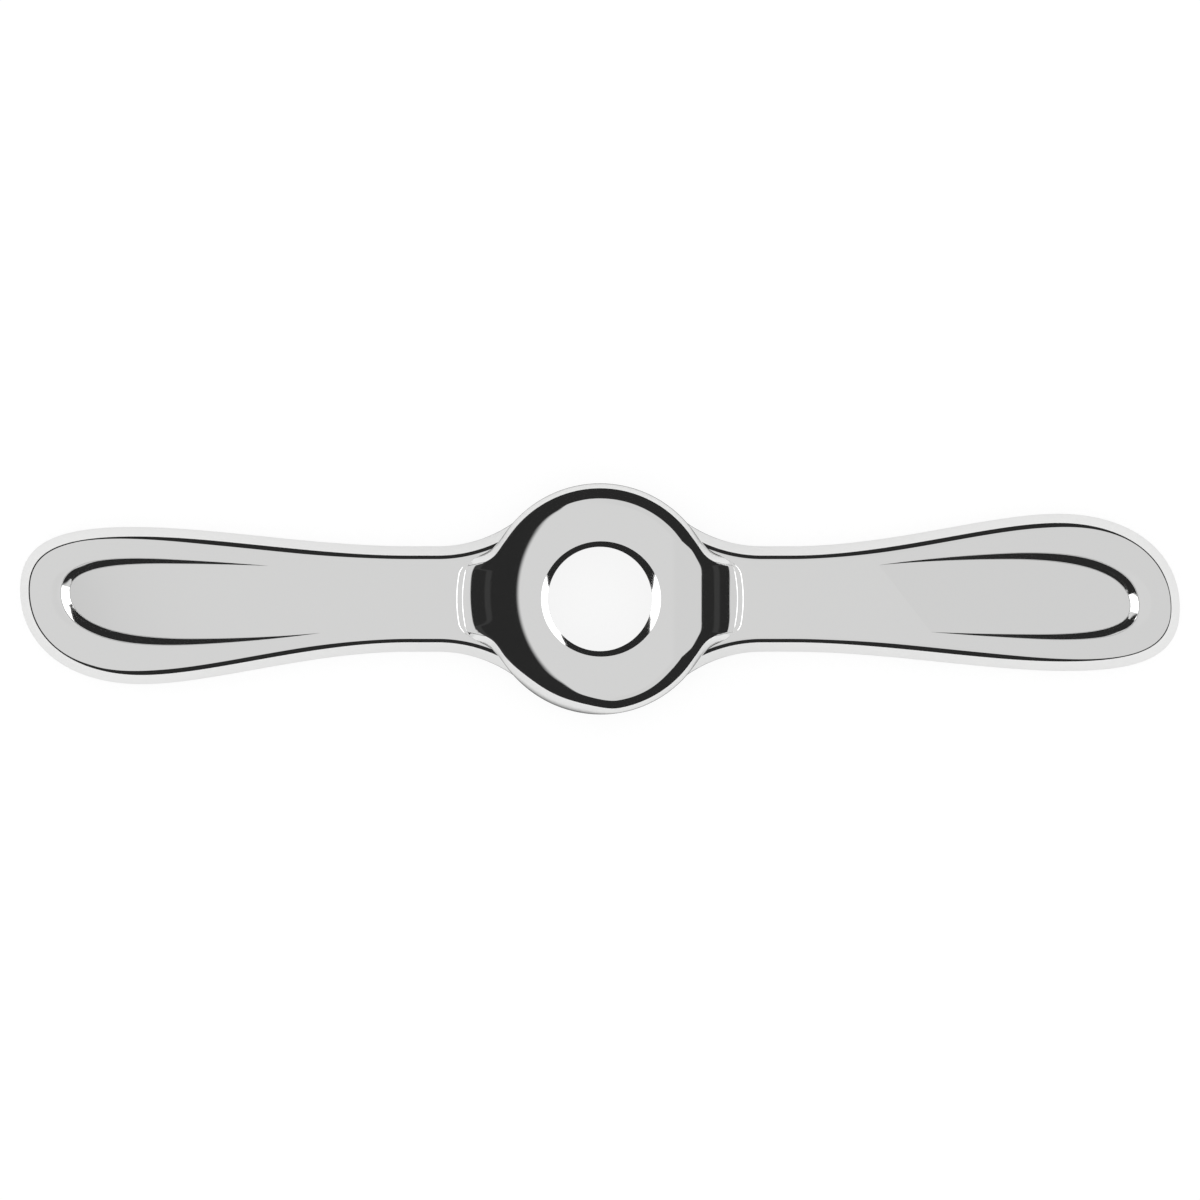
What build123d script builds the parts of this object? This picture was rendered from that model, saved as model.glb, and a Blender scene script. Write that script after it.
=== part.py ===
from build123d import *
import math
import os

# Die stock: a cast two-armed handle that turns a 1 inch hexagon die.
# Millimetres. +Z is the bore's axis, up through the plain face of the hub.
# +X runs along the arms, and Z = 0 is the die side of the hub, on which it rests.

# Overall size
overall_length = 228.6
hub_radius = 22.7
hub_height = 15.0

# Hub: the plain face, its rounded rim and the roll of the face down each ear
rim_radius = 3.4
foot_edge = 0.9
roll_start = 14.0

# Ears: the ends of the raised platform, on the arms beside the hub
ear_reach = 27.2
ear_half_width = 8.5
ear_step = 2.1
ear_flare = 16.0
ear_draft = 42.0
ear_corner_radius = 1.2
ear_edge_radius = 0.7
ear_root = 1.5
roll_past = 1.0

# Arms: flat bars with sloping sides that meet at a parting line half way up
arm_thickness = 8.0
arm_lift = 2.0
side_slope = 2.0
arm_edge_radius = 1.2
parting_radius = 1.0
blend_radius = 26.0
blend_sink = 0.3
waist_at = 37.4
waist_half_width = 10.4
tip_drop = 1.8

# The two long edges of each paddle, which aren't alike: the paddle leans to one side.
# half width, place of the widest point, curve handles after the waist and before the
# widest point, and fullness of the curve from there to the tip
wide_edge = (16.8, 90.4, 20.0, 14.0, 0.60)
narrow_edge = (14.2, 92.0, 19.0, 16.0, 0.72)

# Thumb scoops: a hollow in each face of each paddle, deepest at its end by the tip
# and running out level with the face towards the neck. Its floor also leans, so that
# it is deeper along the wide edge
scoop_depth = 1.8
scoop_lean = 1.8
scoop_end = 104.3
scoop_fade = 60.0
scoop_start = 45.0
scoop_drop = 1.5
scoop_wall_tilt = 42.0
scoop_end_ease = 1.9
scoop_floor_radius = 1.0
scoop_clear = 1.0
# half width at the start, half width at the widest, its place, handle towards the
# start, and the two fullnesses of the rounded end
scoop_wide_edge = (5.6, 7.75, 80.0, 12.0, 0.75, 0.55)
scoop_narrow_edge = (5.3, 6.9, 86.0, 14.0, 0.80, 0.60)

# Bore, and the pocket that takes the die
bore_radius = 10.25
bore_edge = 1.3
die_across_flats = 25.4
die_clearance = 0.15
die_thickness = 9.5
pocket_edge = 0.5

# Set screw that holds the die, in a hole through the hub's wall to one flat
screw_radius = 3.0
screw_length = 8.0
screw_clearance = 0.05
screw_setback = 0.3
screw_edge = 0.5
screw_mouth_edge = 0.7
screw_cut_past = 1.0
socket_across_flats = 3.0
socket_depth = 3.5
cup_radius = 1.4
cup_depth = 0.8

arm_bottom = arm_lift
arm_middle = arm_lift + arm_thickness / 2
arm_top = arm_lift + arm_thickness
face_rise = hub_height - arm_top
pocket_apothem = die_across_flats / 2 + die_clearance
pocket_corner = pocket_apothem / math.cos(math.radians(30))
screw_height = die_thickness / 2
screw_hole_radius = screw_radius + screw_clearance
side_angle = math.atan2(arm_thickness / 2, side_slope)
parting_spill = parting_radius * (1 / math.sin(side_angle) - 1)
half_turn = (0, 0, 180)


def paddle_edge(side, inset, edge):
    """One long edge of the right arm, from the hub round to the tip.

    side is 1 for the +Y edge and -1 for the -Y edge. inset moves the edge inwards.
    """
    half_width, widest_at, handle_out, handle_in, fullness = edge
    tip = overall_length / 2
    bend_reach = hub_radius - blend_sink + blend_radius
    bend_y = waist_half_width + blend_radius
    bend_x = math.sqrt(bend_reach**2 - bend_y**2)
    start_angle = math.degrees(math.atan2(-bend_y, -bend_x))
    waist_y = waist_half_width - inset
    widest_y = half_width - inset
    reach = tip - inset
    with BuildLine() as edge_line:
        CenterArc(
            (bend_x, side * bend_y),
            blend_radius + inset,
            side * start_angle,
            side * (-90 - start_angle),
        )
        Line((bend_x, side * waist_y), (waist_at, side * waist_y))
        Bezier(
            (waist_at, side * waist_y),
            (waist_at + handle_out, side * waist_y),
            (widest_at - handle_in, side * widest_y),
            (widest_at, side * widest_y),
        )
        Bezier(
            (widest_at, side * widest_y),
            (widest_at + fullness * (reach - widest_at), side * widest_y),
            (reach, -tip_drop + side * fullness * (widest_y + side * tip_drop)),
            (reach, -tip_drop),
        )
    return edge_line.line


def arm_outline(inset):
    """Closed outline of the right arm. Its root is a chord inside the hub."""
    upper = paddle_edge(1, inset, wide_edge)
    lower = paddle_edge(-1, inset, narrow_edge)
    with BuildLine() as outline:
        add(upper)
        add(lower)
        Line(upper @ 0, lower @ 0)
    return outline.line


def scoop_edge(side, outset, edge):
    """One edge of a scoop's floor, from its start by the neck round to its end."""
    start_width, half_width, widest_at, handle, full_side, full_end = edge
    end_x = scoop_end + scoop_end_ease * outset
    start_y = side * (start_width + outset)
    widest_y = side * (half_width + outset)
    with BuildLine() as edge_line:
        Bezier(
            (scoop_start, start_y),
            (widest_at - 2 * handle, (start_y + 2 * widest_y) / 3),
            (widest_at - handle, widest_y),
            (widest_at, widest_y),
        )
        Bezier(
            (widest_at, widest_y),
            (widest_at + full_side * (end_x - widest_at), widest_y),
            (end_x, -scoop_drop + full_end * (widest_y + scoop_drop)),
            (end_x, -scoop_drop),
        )
    return edge_line.line


def scoop_outline(outset):
    """Closed outline of a scoop, grown by outset."""
    upper = scoop_edge(1, outset, scoop_wide_edge)
    lower = scoop_edge(-1, outset, scoop_narrow_edge)
    with BuildLine() as outline:
        add(upper)
        add(lower)
        Line(upper @ 0, lower @ 0)
    return outline.line


def long_edges(bar, height):
    """The edges that run round the bar at one height, without its root chord."""
    level = bar.edges().filter_by_position(Axis.Z, height, height)
    return level.filter_by(lambda edge: abs((edge @ 0).X - (edge @ 1).X) > 0.01)


# Hollow of one thumb scoop: a tilted floor with walls that flare outwards
scoop_slope = scoop_depth / (scoop_end - scoop_fade)
scoop_floor = Plane(
    origin=(scoop_fade, 0, arm_top),
    x_dir=(1, 0, -scoop_slope),
    z_dir=(scoop_slope, math.tan(math.radians(scoop_lean)), 1),
)
scoop_height = scoop_depth + scoop_clear
scoop_flare = scoop_height / math.tan(math.radians(scoop_wall_tilt))
floor_outline = scoop_outline(0).moved(Location((-scoop_fade, 0, 0)))
mouth_outline = scoop_outline(scoop_flare).moved(Location((-scoop_fade, 0, 0)))

with BuildPart() as scoop:
    with BuildSketch(scoop_floor):
        with BuildLine():
            add(floor_outline)
        make_face()
    with BuildSketch(scoop_floor.offset(scoop_height)):
        with BuildLine():
            add(mouth_outline)
        make_face()
    loft(ruled=True)
    fillet(scoop.faces().sort_by(Axis.Z)[0].edges(), scoop_floor_radius)

# Right arm
edge_outline = arm_outline(side_slope)
parting_outline = arm_outline(-parting_spill)

with BuildPart() as arm:
    with BuildSketch(Plane.XY.offset(arm_bottom)):
        with BuildLine():
            add(edge_outline)
        make_face()
    with BuildSketch(Plane.XY.offset(arm_middle)):
        with BuildLine():
            add(parting_outline)
        make_face()
    with BuildSketch(Plane.XY.offset(arm_top)):
        with BuildLine():
            add(edge_outline)
        make_face()
    loft(ruled=True)
    fillet(long_edges(arm, arm_middle), parting_radius)
    fillet(long_edges(arm, arm_top) + long_edges(arm, arm_bottom), arm_edge_radius)
    add(scoop.part, mode=Mode.SUBTRACT)
    mirror(scoop.part, about=Plane.XY.offset(arm_middle), mode=Mode.SUBTRACT)

# The face rolls down towards both ears, to the top of the step at each ear's end.
# This profile trims the top of the platform.
roll_drop = face_rise - ear_step
roll_run = ear_reach - ear_step * math.tan(math.radians(ear_draft)) - roll_start
roll_radius = (roll_run**2 + roll_drop**2) / (2 * roll_drop)
roll_end_x = ear_reach + roll_past

with BuildPart() as roll:
    with BuildSketch(Plane.XZ):
        with BuildLine():
            Line((-roll_start, hub_height), (roll_start, hub_height))
            right_roll = CenterArc(
                (roll_start, hub_height - roll_radius),
                roll_radius,
                90,
                -math.degrees(math.asin((roll_end_x - roll_start) / roll_radius)),
            )
            left_roll = mirror(right_roll, about=Plane.YZ)
            Polyline(
                right_roll @ 1,
                (roll_end_x, 0),
                (-roll_end_x, 0),
                left_roll @ 1,
            )
        make_face()
    extrude(amount=hub_radius + roll_past, both=True)

# Right ear: the raised end of the hub's platform, with drafted sides
ear_corner_x = math.sqrt(ear_reach**2 - ear_half_width**2)
ear_inner_x = hub_radius / 2
ear_inner_y = ear_half_width + (ear_corner_x - ear_inner_x) * math.tan(math.radians(ear_flare))

with BuildPart() as ear:
    with BuildSketch(Plane.XY.offset(arm_top)) as ear_sketch:
        with BuildLine():
            sides = Polyline(
                (ear_corner_x, ear_half_width),
                (ear_inner_x, ear_inner_y),
                (ear_inner_x, -ear_inner_y),
                (ear_corner_x, -ear_half_width),
            )
            ThreePointArc(sides @ 1, (ear_reach, 0), sides @ 0)
        make_face()
    extrude(amount=face_rise, taper=ear_draft)
    end_wall = ear.faces().sort_by(Axis.X)[-1]
    fillet(end_wall.edges().group_by(Axis.Z)[1], ear_corner_radius)
    add(roll.part, mode=Mode.INTERSECT)
    crown = ear.faces().sort_by(Axis.Z)[-1]
    fillet(crown.edges().sort_by(Axis.X)[1:], ear_edge_radius)
    extrude(ear.faces().sort_by(Axis.Z)[0], amount=ear_root)

# Platform: the hub's disc with both ears
with BuildPart() as platform:
    with BuildSketch():
        Circle(hub_radius)
    extrude(amount=hub_height)
    fillet(platform.edges().group_by(Axis.Z)[-1], rim_radius)
    chamfer(platform.edges().group_by(Axis.Z)[0], foot_edge)
    add(roll.part, mode=Mode.INTERSECT)
    add(ear.part)
    add(ear.part, rotation=half_turn)

# Handle: the platform and both arms in one casting
with BuildPart() as handle:
    add(platform.part)
    add(arm.part)
    add(arm.part, rotation=half_turn)

    # Bore, with its edge broken on the plain face
    with Locations((0, 0, hub_height / 2)):
        Hole(bore_radius)
    with BuildSketch(Plane.XY.offset(hub_height)):
        Circle(bore_radius + bore_edge)
    extrude(amount=-bore_edge, taper=45, mode=Mode.SUBTRACT)

    # Pocket for the hexagon die, open to the die side
    with BuildSketch(Plane.XY):
        RegularPolygon(pocket_corner, 6)
    extrude(amount=die_thickness, mode=Mode.SUBTRACT)
    pocket_mouth = handle.edges().filter_by(GeomType.LINE).filter_by_position(Axis.Z, 0, 0)
    chamfer(pocket_mouth, pocket_edge)

    # Screw hole, from the rim to the middle of one of the pocket's flats
    with BuildSketch(Plane.XZ.offset(pocket_apothem - screw_cut_past)):
        with Locations((0, screw_height)):
            Circle(screw_hole_radius)
    extrude(amount=hub_radius - pocket_apothem + 2 * screw_cut_past, mode=Mode.SUBTRACT)
    with BuildSketch(Plane.XZ.offset(hub_radius)):
        with Locations((0, screw_height)):
            Circle(screw_hole_radius + screw_mouth_edge)
    extrude(amount=-screw_mouth_edge, taper=45, mode=Mode.SUBTRACT)

# Set screw: plain threaded length, with a hexagon socket outside and a cup point inside
screw_tip = pocket_apothem + screw_setback

with BuildPart() as set_screw:
    with BuildSketch(Plane.XZ.offset(screw_tip)):
        with Locations((0, screw_height)):
            Circle(screw_radius)
    extrude(amount=screw_length)
    chamfer(set_screw.edges().filter_by(GeomType.CIRCLE), screw_edge)
    with BuildSketch(Plane.XZ.offset(screw_tip + screw_length)):
        with Locations((0, screw_height)):
            RegularPolygon(socket_across_flats / 2, 6, major_radius=False)
    extrude(amount=-socket_depth, mode=Mode.SUBTRACT)
    with BuildSketch(Plane.YZ):
        with BuildLine():
            Polyline(
                (-screw_tip, screw_height),
                (-screw_tip, screw_height + cup_radius),
                (-screw_tip - cup_depth, screw_height),
                close=True,
            )
        make_face()
    revolve(axis=Axis((0, 0, screw_height), (0, 1, 0)), mode=Mode.SUBTRACT)

handle.part.label = "handle"
set_screw.part.label = "set_screw"

os.makedirs("parts", exist_ok=True)
export_step(handle.part, "parts/handle.step")
export_step(set_screw.part, "parts/set_screw.step")
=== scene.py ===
"""The looks of the die stock handle: chromed casting, threaded set screw, floor and studio.

Sizes are in millimetres and turned into metres where a mesh is made. The handle's surface is
worked out as patches, each a function of two parameters, that share their border points.
"""

import math

import bpy
import numpy as np
from mathutils.geometry import delaunay_2d_cdt
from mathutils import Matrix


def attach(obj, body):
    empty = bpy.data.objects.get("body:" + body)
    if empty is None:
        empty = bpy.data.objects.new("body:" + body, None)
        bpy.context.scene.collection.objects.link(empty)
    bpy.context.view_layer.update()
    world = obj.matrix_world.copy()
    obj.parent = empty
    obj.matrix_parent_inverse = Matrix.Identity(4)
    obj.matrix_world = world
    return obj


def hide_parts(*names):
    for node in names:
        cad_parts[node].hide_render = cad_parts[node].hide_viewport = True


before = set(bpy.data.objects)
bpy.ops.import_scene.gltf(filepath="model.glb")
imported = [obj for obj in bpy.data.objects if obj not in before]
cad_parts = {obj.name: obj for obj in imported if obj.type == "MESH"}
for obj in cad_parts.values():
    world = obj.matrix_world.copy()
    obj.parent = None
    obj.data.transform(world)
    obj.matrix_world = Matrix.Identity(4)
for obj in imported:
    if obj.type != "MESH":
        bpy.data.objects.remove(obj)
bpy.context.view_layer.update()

# Sizes shared with the solid model
overall_length = 228.6
hub_radius = 22.7
hub_height = 15.0
rim_radius = 3.4
foot_edge = 0.9
arm_bottom = 2.0
arm_middle = 6.0
arm_top = 10.0
side_slope = 2.0
parting_radius = 1.0
blend_radius = 26.0
blend_sink = 0.3
waist_at = 37.4
waist_half_width = 10.4
tip_drop = 1.8
scoop_fade = 60.0
scoop_start = 45.0
scoop_end = 104.3
scoop_depth = 1.8
scoop_lean = 1.8
scoop_drop = 1.5
scoop_end_ease = 1.9
bore_radius = 10.25
pocket_apothem = 12.85
die_thickness = 9.5
pocket_edge = 0.5
screw_height = 4.75
screw_hole_radius = 3.05
screw_mouth_edge = 0.7

# Each arm edge: half width, where it is widest, handles at the waist and there, tip fullness
wide_edge = (16.8, 90.4, 20.0, 14.0, 0.60)
narrow_edge = (14.2, 92.0, 19.0, 16.0, 0.72)

# Each scoop edge: half widths at the start and the widest place, that place, its handle,
# and the fullness of the end along and across the arm
scoop_wide_edge = (5.6, 7.75, 80.0, 12.0, 0.75, 0.55)
scoop_narrow_edge = (5.3, 6.9, 86.0, 14.0, 0.80, 0.60)

# The arms' rounded edges: radius at the neck, the swell and the tip, and the places along
# the arm between which it changes
crease_tilt = math.radians(27.0)
neck_edge_radius = 2.3
swell_edge_radius = 2.9
tip_edge_radius = 0.65
swell_span = (42.0, 60.0)
wide_tip_span = (86.0, 109.0)
narrow_tip_span = (74.0, 106.0)
tip_gap = 0.015

# The platform in plan: ears, and the corners that join them to the hub
ear_reach = 26.95
ear_gap = 0.12
ear_corner_blend = 2.6
hub_corner_blend = 2.4
ear_root = 12.0
ear_root_slope = 2.0
ear_root_blend = 1.0

# The platform's face and its rolls
roll_start = 13.9
roll_radius = 25.0
crown_centre = (6.1, 1.0)

# The platform's rim: an arc, a crease and a steep edge. It goes deepest at the lower left
# of the hub, and its arc is tightest at the lower right
rim_arc_radius = 7.7
rim_tilt = math.radians(24.0)
rim_crease = 1.0
rim_power = 0.7
ear_crease = 0.5
deep_rim_at = math.radians(245.0)
deep_rim_spread = 0.82
deep_rim_crease = 1.05
deep_rim_drop = 3.5
tight_arc_at = math.radians(280.0)
tight_arc_spread = 0.8
tight_arc_share = 0.25

# The low pad at the ears' foot, and the angles from the arm's axis over which the ears'
# forms fade, in degrees
pad_width = 1.25
pad_side_width = 0.15
pad_lip = 0.12
pad_end_fade = (10.0, 17.0)
pad_side_fade = (15.0, 19.0)
ear_crease_fade = (17.0, 31.0)
ear_foot_fade = (24.0, 44.0)

# The bore's polished edge: its mean width, what it gains to the right and along the arms,
# and its slopes at the face and at the bore
bore_edge_width = 1.25
bore_edge_right = 0.2
bore_edge_along = 0.2
bore_edge_slopes = (math.tan(math.radians(41.0)), math.tan(math.radians(42.0)))

# The scoops' walls: slopes of the sides, the end and the lip, the share of a fall over
# which a slope eases in or out, and the part of the way round that turns side into end
scoop_side_wall = math.tan(math.radians(40.5))
scoop_end_wall = math.tan(math.radians(44.6))
scoop_turn = (0.1, 0.45)
lip_slope = math.tan(math.radians(3.2))
lip_shares = (0.002, 0.9)
lip_ease = 0.3
wall_ease = 0.05

# Rows and columns of the patches
parting_rows, slope_rows, edge_rows = 5, 10, 9
bend_columns, waist_columns, swell_columns, tip_columns = 30, 6, 56, 64
ear_columns, arc_columns = 44, 56
wall_rows, steep_rows, arc_rows, face_rows = 6, 12, 20, 24
lip_rows, scoop_rows = 8, 16
scoop_side_columns, scoop_end_columns = 48, 64
bore_rows, lower_rows = 4, 4
screw_hole_columns = 48

# The part of the hub's wall that is drawn round the screw's hole: half its angle about the
# bore in degrees, and the least gap between its points and the hole's mouth
screw_wall_angle = 12.5
screw_wall_gap = 0.5

half_turn = np.array([-1.0, -1.0, 1.0])
UP = np.array([0.0, 0.0, 1.0])


def smooth_step(low, high, value):
    """0 below low, 1 above high, and 3t^2 - 2t^3 between."""
    t = np.clip((value - low) / (high - low), 0.0, 1.0)
    return t * t * (3 - 2 * t)


def smooth_max(a, b, blend):
    """The larger value, with the corner between them rounded over blend."""
    near = np.maximum(blend - np.abs(a - b), 0) / np.maximum(blend, 1e-9)
    return np.maximum(a, b) + near**2 * blend / 4


def smooth_min(a, b, blend):
    """The smaller value, with the corner between them rounded over blend."""
    return -smooth_max(-a, -b, blend)


def eased(value, low, high, soft_start, soft_stop):
    """0 to 1 between low and high. The slope grows evenly over the first share, stays, and
    dies away over the last."""
    t = np.clip((value - low) / (high - low), 0, 1)
    rise = np.minimum(t, soft_start)
    steady = np.clip(t - soft_start, 0, 1 - soft_start - soft_stop)
    ease = np.clip(t - 1 + soft_stop, 0, None)
    total = rise**2 / (2 * soft_start) + steady + ease - ease**2 / (2 * soft_stop)
    return total / (1 - soft_start / 2 - soft_stop / 2)


def shares(count, first=0):
    """Even steps from 0 to 1 as a column, from step first on."""
    return np.linspace(0, 1, count + 1)[first:, None]


def cosine_shares(count):
    """Steps from 0 to 1 as a column, closest at both ends."""
    return (1 - np.cos(np.linspace(0, math.pi, count + 1)))[:, None] / 2


def bezier(part, a, b, c, d):
    """Cubic curve through a and d with handles b and c."""
    rest = 1 - part
    return rest**3 * a + 3 * rest**2 * part * b + 3 * rest * part**2 * c + part**3 * d


def polar(radius, angle, height):
    """Points from polar angles about the bore."""
    radius, angle, height = np.broadcast_arrays(radius, angle, height)
    return np.stack([radius * np.cos(angle), radius * np.sin(angle), height], axis=-1)


def outward(angle, rows, height=0.0):
    """Vectors away from the bore's axis at each angle, with this height, for some rows."""
    return polar(1.0, angle, height)[None] * np.ones((rows, 1, 1))


def solve(function, low, high, steps=60):
    """Halves the range until function, which rises through zero, is zero. Arrays welcome."""
    low, high = np.broadcast_arrays(low, high)
    low, high = low.astype(float), high.astype(float)
    for _ in range(steps):
        middle = (low + high) / 2
        above = function(middle) > 0
        high = np.where(above, middle, high)
        low = np.where(above, low, middle)
    return (low + high) / 2


def in_loop(loop, points):
    """Whether each point is inside the loop, by counting the edges that a ray crosses."""
    start = loop[None, :, :]
    end = np.roll(loop, -1, axis=0)[None, :, :]
    x, y = points[:, 0, None], points[:, 1, None]
    spans = (start[..., 1] > y) != (end[..., 1] > y)
    rise = np.where(spans, end[..., 1] - start[..., 1], 1.0)
    cut = start[..., 0] + (y - start[..., 1]) * (end[..., 0] - start[..., 0]) / rise
    return (spans & (x < cut)).sum(axis=1) % 2 == 1


class Skin:
    """One closed surface made of patches. Points that patches share are merged at the end."""

    def __init__(self):
        self.points = []
        self.normals = []
        self.faces = []
        self.count = 0

    def add(self, points, normals, faces):
        """Keeps a patch: points and normals (n, 3), faces (m, 3 or 4) that index them."""
        self.points.append(points)
        self.normals.append(normals)
        self.faces.append(faces + self.count)
        self.count += len(points)

    def grid(self, points, outside, closed=False, normals=None, keep=None):
        """A patch of rows and columns. Its normals are the cross product of its two
        directions, turned to the side that outside names. keep says which cells stay."""
        rows, columns = points.shape[:2]
        along = np.gradient(points, axis=0)
        if closed:
            ring = points[:, :-1]
            across = (np.roll(ring, -1, axis=1) - np.roll(ring, 1, axis=1)) / 2
            across = np.concatenate([across, across[:, :1]], axis=1)
        else:
            across = np.gradient(points, axis=1)
        cross = np.cross(along, across)
        side = np.sign(np.sum(cross * outside))
        if normals is None:
            length = np.linalg.norm(cross, axis=2, keepdims=True)
            normals = side * cross / np.maximum(length, 1e-12)
            normals = borrow_normals(normals, length[..., 0] < 1e-9)
        index = np.arange(rows * columns).reshape(rows, columns)
        corners = [index[:-1, :-1], index[1:, :-1], index[1:, 1:], index[:-1, 1:]]
        if side < 0:
            corners = corners[::-1]
        faces = np.stack(corners, axis=-1)
        faces = faces[keep] if keep is not None else faces.reshape(-1, 4)
        self.add(points.reshape(-1, 3), normals.reshape(-1, 3), faces)

    def plane(self, points, facing):
        """A plane four-sided patch."""
        facing = facing / np.linalg.norm(facing)
        self.grid(points, facing, normals=np.tile(facing, (2, 2, 1)))

    def fill(self, flat, place, normals, loops):
        """Fills the area inside the first loop and outside the others with triangles.

        flat holds the points on a plane (n, 2), place the same points in space, normals
        what they face, and loops the index lists that go round."""
        edges = [
            pair
            for loop in loops
            for pair in zip(loop.tolist(), np.roll(loop, -1).tolist())
        ]
        result = delaunay_2d_cdt(flat.tolist(), edges, [], 0, 1e-7)
        crossed = [tuple(result[0][i]) for i, ids in enumerate(result[3]) if not ids]
        if crossed:
            raise ValueError(f"loops cross at {crossed[:8]}, {len(crossed)} in all")
        source = np.array([ids[0] for ids in result[3]])
        corners = source[np.array(result[2])]
        centre = flat[corners].mean(axis=1)
        inside = in_loop(flat[loops[0]], centre)
        for hole in loops[1:]:
            inside &= ~in_loop(flat[hole], centre)
        corners = corners[inside]
        cross = np.cross(
            place[corners[:, 1]] - place[corners[:, 0]],
            place[corners[:, 2]] - place[corners[:, 0]],
        )
        wrong = np.sum(cross * normals[corners[:, 0]], axis=1) < 0
        corners[wrong] = corners[wrong][:, ::-1]
        self.add(place, normals, corners)

    def mesh(self, name):
        """Merges shared points, drops faces with no area, makes a triangle of a cell with
        one doubled corner, and gives each corner its normal."""
        points = np.concatenate(self.points)
        normals = np.concatenate(self.normals)
        _, first, merged = np.unique(
            np.round(points, 4) + 0.0, axis=0, return_index=True, return_inverse=True
        )
        merged = merged.ravel()
        rings = []
        for faces in self.faces:
            corners = merged[faces]
            doubled = corners == np.roll(corners, 1, axis=1)
            rings.append(faces[doubled.sum(axis=1) == 0])
            if faces.shape[1] == 4:
                once = doubled.sum(axis=1) == 1
                rings.append(faces[once][~doubled[once]].reshape(-1, 3))
        rings = [ring for ring in rings if len(ring)]
        totals = np.concatenate([np.full(len(ring), ring.shape[1]) for ring in rings])
        starts = np.concatenate([[0], np.cumsum(totals)[:-1]])
        corner_source = np.concatenate([ring.ravel() for ring in rings])
        mesh = bpy.data.meshes.new(name)
        mesh.vertices.add(len(first))
        mesh.vertices.foreach_set("co", (points[first] * 0.001).ravel())
        mesh.loops.add(len(corner_source))
        mesh.loops.foreach_set("vertex_index", merged[corner_source].astype(np.int32))
        mesh.polygons.add(len(totals))
        mesh.polygons.foreach_set("loop_start", starts.astype(np.int32))
        mesh.polygons.foreach_set("loop_total", totals.astype(np.int32))
        mesh.update(calc_edges=True)
        mesh.validate(verbose=False)
        mesh.polygons.foreach_set("use_smooth", np.ones(len(mesh.polygons), dtype=bool))
        mesh.normals_split_custom_set(normals[corner_source].tolist())
        return mesh


def borrow_normals(normals, weak):
    """Gives each point where the grid is pinched the normal of a near point of its row."""
    if weak.any():
        for shift in (1, -1, 2, -2):
            moved = np.roll(normals, shift, axis=1)
            fine = weak & (np.linalg.norm(moved, axis=2) > 0.5)
            normals = np.where(fine[..., None], moved, normals)
            weak = weak & ~fine
    return normals


# The arm's side in section
side_angle = math.atan2(arm_top - arm_middle, side_slope)
parting_spill = parting_radius * (1 / math.sin(side_angle) - 1)
side_lean = math.atan2(arm_top - arm_middle, side_slope + parting_spill)
crease_row = parting_rows + slope_rows


def crease_inset(edge_radius):
    """Inset of the crease at which the arm's side meets the arc of its rounded edge."""
    return side_slope - edge_radius * (1 - math.cos(crease_tilt)) / math.tan(side_lean)


def level_inset(edge_radius):
    """Inset at which the arm's face is level."""
    return crease_inset(edge_radius) + edge_radius * math.sin(crease_tilt)


def side_profile(edge_radius):
    """Insets and heights of an arm's side over the parting line, one column for each value
    of edge_radius: a circle round the parting line, a straight slope, a crease, and an arc
    of edge_radius that ends level with the face."""
    rise = arm_top - arm_middle
    edge_radius = np.asarray(edge_radius)[None, :]
    angle = math.pi - shares(parting_rows) * (math.pi / 2 - side_lean)
    middle = parting_radius / math.sin(side_lean) - parting_spill
    low_in = middle + parting_radius * np.cos(angle) + 0 * edge_radius
    low_up = parting_radius * np.sin(angle) + 0 * edge_radius
    angle = math.pi / 2 + crease_tilt * (1 - shares(edge_rows))
    high_in = level_inset(edge_radius) + edge_radius * np.cos(angle)
    high_up = rise - edge_radius + edge_radius * np.sin(angle)
    part = shares(slope_rows)[1:-1]
    slope_in = low_in[-1:] + part * (high_in[:1] - low_in[-1:])
    slope_up = low_up[-1:] + part * (high_up[:1] - low_up[-1:])
    inset = np.concatenate([low_in, slope_in, high_in])
    return inset, np.concatenate([low_up, slope_up, high_up])


# Plan of the blends between the hub and the arms, and of the platform
bend_reach = hub_radius - blend_sink + blend_radius
bend_y = waist_half_width + blend_radius
bend_x = math.sqrt(bend_reach**2 - bend_y**2)
bend_side = -0.75 * math.pi
flank_radius = blend_radius + level_inset(neck_edge_radius) + ear_gap


def disc_inset(x, y):
    """How far a point is inside the hub's disc."""
    return hub_radius - np.hypot(x, y)


def flank_inset(x, y):
    """How far a point is inside the bar between the arms' blend circles."""
    return np.hypot(x - bend_x, y - bend_y) - flank_radius


def join_to_hub(bar, x, y):
    """A bar that starts at the ears' root, joined to the hub's disc by rounded corners."""
    bar = smooth_min(bar, ear_root_slope * (x - ear_root), ear_root_blend)
    return smooth_max(disc_inset(x, y), bar, hub_corner_blend)


def body_inset(x, y):
    """How far a point is inside the hub's disc, joined to a bar between the arms' blends."""
    x, y = np.abs(x), np.abs(y)
    return join_to_hub(flank_inset(x, y), x, y)


def platform_inset(x, y):
    """How far a point is inside the platform's outline: the disc of the hub joined to two
    ears, each bounded by the arms' blend circles and by an arc about the bore."""
    x, y = np.abs(x), np.abs(y)
    ear = smooth_min(flank_inset(x, y), ear_reach - np.hypot(x, y), ear_corner_blend)
    return join_to_hub(ear, x, y)


def outline_radius(angle, inset):
    """Radius from the bore at which platform_inset has this value."""
    shape = np.broadcast(angle, inset).shape
    return solve(
        lambda r: inset - platform_inset(r * np.cos(angle), r * np.sin(angle)),
        np.full(shape, bore_radius),
        np.full(shape, waist_at),
    )


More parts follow.
